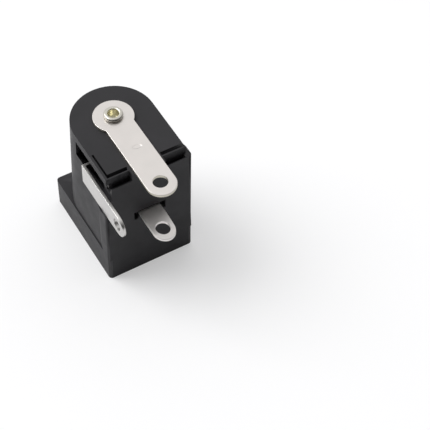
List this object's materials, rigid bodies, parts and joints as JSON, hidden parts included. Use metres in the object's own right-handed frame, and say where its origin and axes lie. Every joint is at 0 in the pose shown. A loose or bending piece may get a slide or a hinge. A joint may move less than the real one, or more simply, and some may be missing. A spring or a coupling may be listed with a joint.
{
  "type": "dc barrel jack",
  "caption": "Right-angle board jack for a coaxial power plug: black moulded housing, centre pin and plated solder tags, with a switching contact.",
  "frame": {"origin": "centre of the barrel mouth, in the plane of the front face", "axes": "+Z along the barrel from the front face to the rear, +Y away from the board to the round top, -X the side with the switch contact"},
  "size_m": [0.0088, 0.0146, 0.0145],
  "materials": {
    "housing": "satin black moulded plastic",
    "pin": "brass with a thin bright plating",
    "plated": "bright plated stamped sheet"
  },
  "bodies": {
    "root": {"housing": "housing", "centre_pin": "pin", "rear_terminal": "plated", "sleeve_contact": "plated", "switch_contact": "plated"}
  },
  "joints": []
}
